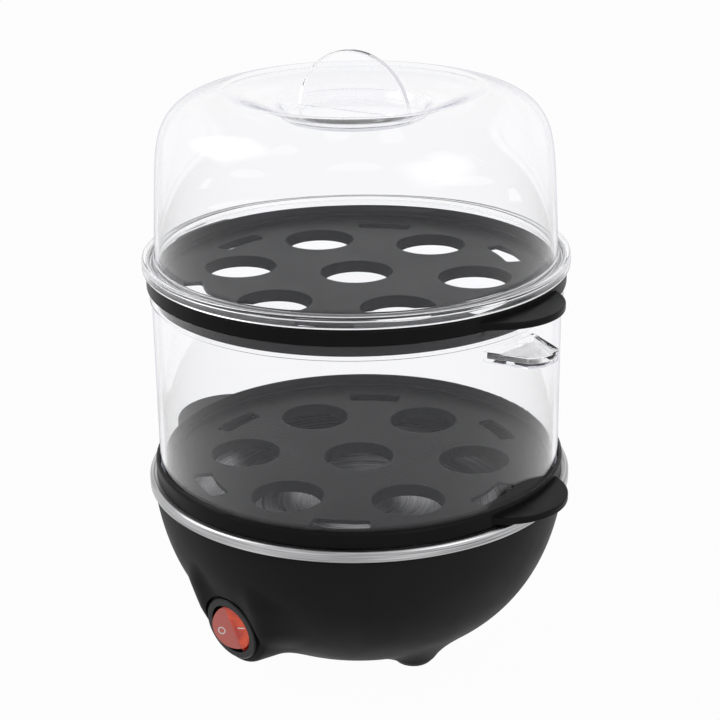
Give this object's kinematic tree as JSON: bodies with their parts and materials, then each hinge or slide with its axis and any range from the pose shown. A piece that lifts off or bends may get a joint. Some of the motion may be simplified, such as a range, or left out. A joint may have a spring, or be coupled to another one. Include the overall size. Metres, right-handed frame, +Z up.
{
  "type": "egg boiler",
  "caption": "Electric egg steamer with a round heating base, rocker switch, perforated egg trays, a clear middle cover with finger tabs and a clear domed lid.",
  "frame": {"origin": "on the axis of the round body, at the level of the foot undersides", "axes": "+Z up along the body axis, the rocker switch faces -Y, the finger tabs lie along X"},
  "size_m": [0.2168, 0.185, 0.2626],
  "materials": {
    "housing_black": "fine satin moulded plastic",
    "tray_black": "satin moulded plastic",
    "clear_plastic": "clear polished plastic",
    "stainless": "lightly brushed stainless sheet",
    "switch_black": "satin black plastic",
    "switch_red": "translucent red plastic",
    "mark_white": "filled white mark",
    "silicone_seal": "soft silicone",
    "rubber_black": "soft black rubber",
    "zinc_steel": "bright zinc plate",
    "brass": "stamped brass",
    "spreader_aluminium": "plain sheet",
    "element_steel": "annealed sheath",
    "bakelite": "dark brown moulded phenolic",
    "fuse_shell": "drawn shell",
    "lamp_glass": "clear glass",
    "lead_brown": "silicone insulation",
    "lead_blue": "silicone insulation",
    "lead_white": "glass fibre sleeve on silicone",
    "cap_nylon": "natural nylon"
  },
  "bodies": {
    "base": {"base_housing": "housing_black", "bottom_cover": "housing_black", "bottom_screws": "zinc_steel", "cord_gland": "rubber_black", "switch_body": "switch_black", "switch_blades": "brass", "neon_lamp": "lamp_glass", "heating_dish": "stainless", "dish_seal": "silicone_seal", "dish_studs": "zinc_steel", "stud_washers": "zinc_steel", "earth_tag": "brass", "stud_nuts": "zinc_steel", "heat_spreader": "spreader_aluminium", "heating_element": "element_steel", "thermostat": "bakelite", "thermostat_strap": "zinc_steel", "strap_screws": "zinc_steel", "thermal_fuse": "fuse_shell", "fuse_clip": "zinc_steel", "switch_lead": "lead_brown", "heater_lead": "lead_white", "fuse_leads": "lead_blue", "neon_lead": "lead_blue", "crimp_cap": "cap_nylon"},
    "rocker": {"switch_rocker": "switch_red", "rocker_marks": "mark_white"},
    "contact_lever": {"contact_lever": "brass"},
    "lower_tray": {"lower_tray": "tray_black"},
    "middle_cover": {"middle_cover": "clear_plastic"},
    "upper_tray": {"upper_tray": "tray_black"},
    "lid": {"lid": "clear_plastic"}
  },
  "joints": [
    {"name": "rocker_hinge", "type": "hinge", "parent": "base", "child": "rocker", "pos_m": [0, -0.07849, 0.02842], "axis": [-0.342, -0.1308, 0.9305], "range_deg": [-24, 0]},
    {"name": "contact_lever_hinge", "type": "hinge", "parent": "base", "child": "contact_lever", "pos_m": [0, -0.06879, 0.02978], "axis": [-0.342, -0.1308, 0.9305], "range_deg": [0, 14]},
    {"name": "lower_tray_lift", "type": "slide", "parent": "base", "child": "lower_tray", "axis": [0, 0, 1], "range_m": [0, 0.06]},
    {"name": "middle_cover_lift", "type": "slide", "parent": "lower_tray", "child": "middle_cover", "axis": [0, 0, 1], "range_m": [0, 0.1]},
    {"name": "upper_tray_lift", "type": "slide", "parent": "middle_cover", "child": "upper_tray", "axis": [0, 0, 1], "range_m": [0, 0.06]},
    {"name": "lid_lift", "type": "slide", "parent": "upper_tray", "child": "lid", "axis": [0, 0, 1], "range_m": [0, 0.11]}
  ],
  "couplings": [
    {"joint": "contact_lever_hinge", "follows": "rocker_hinge", "ratio": -0.58333}
  ]
}
